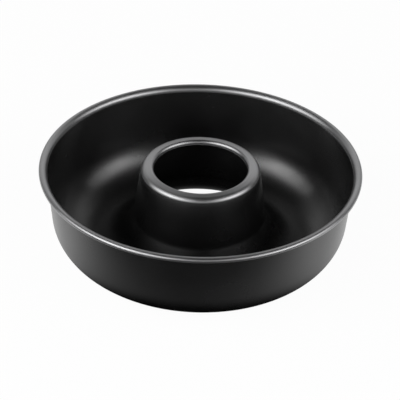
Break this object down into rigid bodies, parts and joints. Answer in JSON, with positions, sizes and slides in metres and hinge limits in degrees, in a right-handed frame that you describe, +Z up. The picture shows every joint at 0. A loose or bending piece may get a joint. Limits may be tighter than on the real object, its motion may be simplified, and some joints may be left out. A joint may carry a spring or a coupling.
{
  "type": "savarin mould",
  "caption": "Round ring cake mould pressed from dark coated steel sheet, with a deep rounded trough, an open flat-topped central chimney and a rolled wired rim.",
  "frame": {"origin": "centre of the base, level with the surface that the mould stands on", "axes": "+Z up along the mould's axis; +X and +Y lie in the base plane and are alike, because the mould is round"},
  "size_m": [0.26, 0.26, 0.0735],
  "materials": {
    "coated_steel": "satin black non-stick coating",
    "wire_steel": "drawn wire, bare"
  },
  "bodies": {
    "root": {"pan_shell": "coated_steel", "rim_wire": "wire_steel"}
  },
  "joints": []
}
